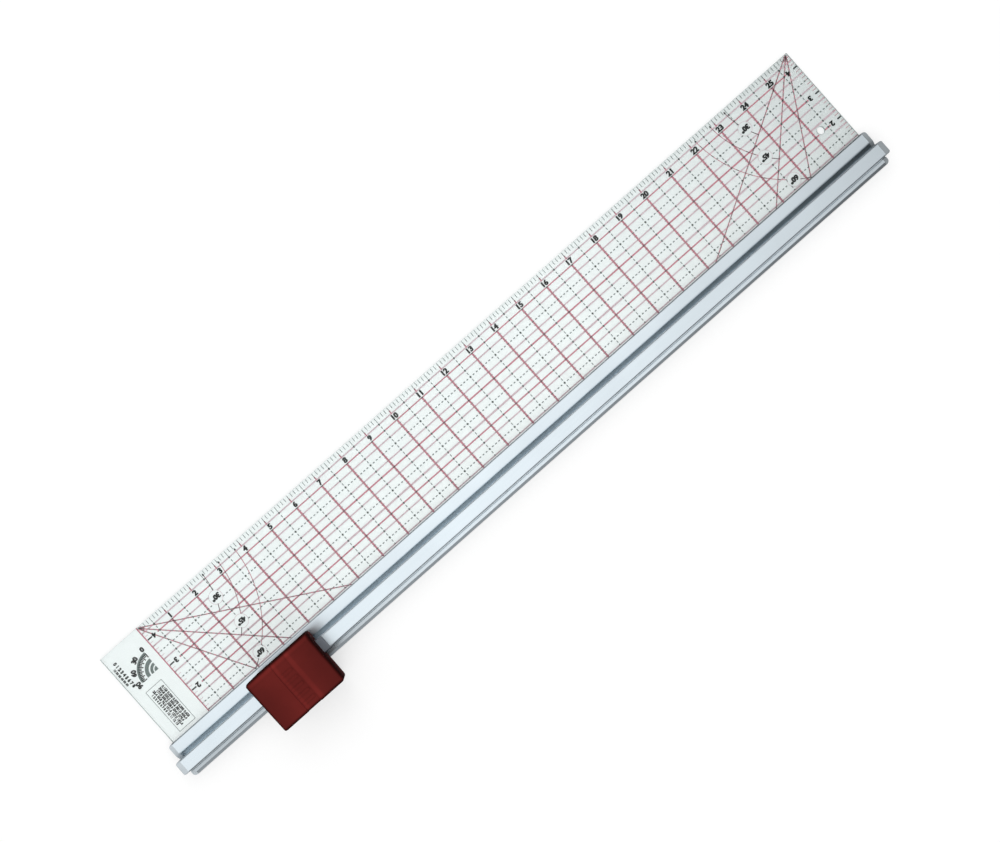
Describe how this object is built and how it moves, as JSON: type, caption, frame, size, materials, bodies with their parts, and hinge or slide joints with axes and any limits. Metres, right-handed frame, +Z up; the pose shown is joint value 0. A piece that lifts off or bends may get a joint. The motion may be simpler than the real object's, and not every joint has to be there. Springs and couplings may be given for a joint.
{
  "type": "rotary cutting ruler",
  "caption": "Long clear graduated ruler bonded to a metal rail; a sprung press-down slider on the rail carries a round blade along its cutting edge.",
  "frame": {"origin": "centre of the bounding box, on the table that the ruler lies on", "axes": "+X along the ruler towards its high numbers, +Y from the cutting edge towards the plate's far edge, +Z up from the table"},
  "size_m": [0.7074, 0.1322, 0.038],
  "materials": {
    "clear_acrylic": "clear, glossy, printed with red and black lines",
    "rail_aluminium": "satin anodised",
    "cap_grey": "matt",
    "bond_tape": "translucent",
    "grip_rubber": "matt",
    "cover_red": "semi-gloss, finely grained",
    "carriage_grey": "matt",
    "blade_steel": "ground",
    "plated_steel": "zinc plated"
  },
  "bodies": {
    "ruler": {"ruler_plate": "clear_acrylic", "bonding_strip": "bond_tape", "rail": "rail_aluminium", "grip_strip": "grip_rubber", "left_end_cap": "cap_grey", "right_end_cap": "cap_grey", "left_cap_screw": "plated_steel", "right_cap_screw": "plated_steel"},
    "carriage": {"carriage": "carriage_grey", "blade_guard": "carriage_grey", "left_guard_screw": "plated_steel", "right_guard_screw": "plated_steel", "left_spring": "plated_steel", "right_spring": "plated_steel"},
    "press_head": {"press_cover": "cover_red", "blade_holder": "carriage_grey", "axle_bolt": "plated_steel", "inner_washer": "plated_steel", "outer_washer": "plated_steel", "axle_nut": "carriage_grey", "left_cover_screw": "plated_steel", "right_cover_screw": "plated_steel", "left_holder_screw": "plated_steel", "right_holder_screw": "plated_steel"},
    "blade": {"rotary_blade": "blade_steel"}
  },
  "joints": [
    {"name": "slider_travel", "type": "slide", "parent": "ruler", "child": "carriage", "axis": [1, 0, 0], "range_m": [-0.0856, 0.5655]},
    {"name": "blade_press", "type": "slide", "parent": "carriage", "child": "press_head", "axis": [0, 0, -1], "range_m": [0, 0.0024], "stiffness_N_per_m": 3300, "springref_m": -0.0015, "deforming": ["left_spring", "right_spring"]},
    {"name": "blade_spin", "type": "hinge", "parent": "press_head", "child": "blade", "pos_m": [-0.2401, -0.0488, 0.016], "axis": [0, 1, 0], "continuous": true}
  ]
}
